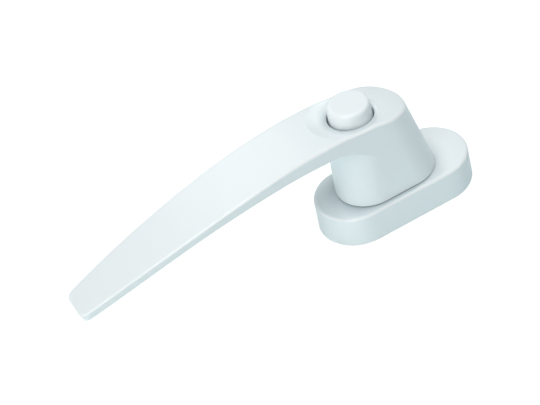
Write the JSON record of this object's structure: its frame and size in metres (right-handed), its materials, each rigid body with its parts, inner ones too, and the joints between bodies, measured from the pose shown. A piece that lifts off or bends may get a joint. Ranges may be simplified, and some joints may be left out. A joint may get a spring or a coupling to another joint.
{
  "type": "locking window handle",
  "caption": "White window lever handle on an obround rosette, with a round push button in a thumb scoop that drives a locking pin.",
  "frame": {"origin": "spindle axis in the plane of the rosette's back face", "axes": "+Z out of the window frame into the room, along the spindle; X along the rosette, the lever towards -X; Y across the rosette"},
  "size_m": [0.1685, 0.032, 0.0561],
  "materials": {
    "white_cover_coating": "white satin powder coat on a formed aluminium shell",
    "white_handle_coating": "white satin powder coat on die-cast aluminium",
    "white_button_plastic": "moulded white plastic, satin gloss",
    "die_cast_base": "tumbled die-cast metal",
    "zinc_plated_steel": "bright zinc plate",
    "screw_steel": "bright zinc plate",
    "grey_slide_plastic": "natural slide-bearing plastic",
    "spring_steel": "blued spring steel",
    "carrier_steel": "turned steel",
    "barrel_zinc": "turned and nickel plated",
    "pin_steel": "hardened and ground"
  },
  "bodies": {
    "rosette": {"rosette_cover": "white_cover_coating", "base_plate": "die_cast_base", "strike_plate": "zinc_plated_steel", "strike_plate_screws": "screw_steel", "slide_ring": "grey_slide_plastic", "bearing_bush": "grey_slide_plastic", "detent_springs": "spring_steel"},
    "handle": {"handle_casting": "white_handle_coating", "spindle_carrier": "carrier_steel", "carrier_screws": "screw_steel", "detent_cam": "carrier_steel", "thrust_washer": "spring_steel", "circlip": "spring_steel", "lock_barrel": "barrel_zinc", "pin_guide_bush": "barrel_zinc", "button_spring": "spring_steel", "latch_wire": "spring_steel"},
    "lock_button": {"button_cap": "white_button_plastic", "locking_pin": "pin_steel", "pin_clip": "spring_steel"}
  },
  "joints": [
    {"name": "handle_turn", "type": "hinge", "parent": "rosette", "child": "handle", "pos_m": [0, 0, 0], "axis": [0, 0, 1], "range_deg": [0, 180], "deforming": ["detent_springs"]},
    {"name": "button_press", "type": "slide", "parent": "handle", "child": "lock_button", "axis": [0, 0, -1], "range_m": [0, 0.005], "stiffness_N_per_m": 800, "springref_m": -0.004, "deforming": ["button_spring", "latch_wire"]}
  ]
}
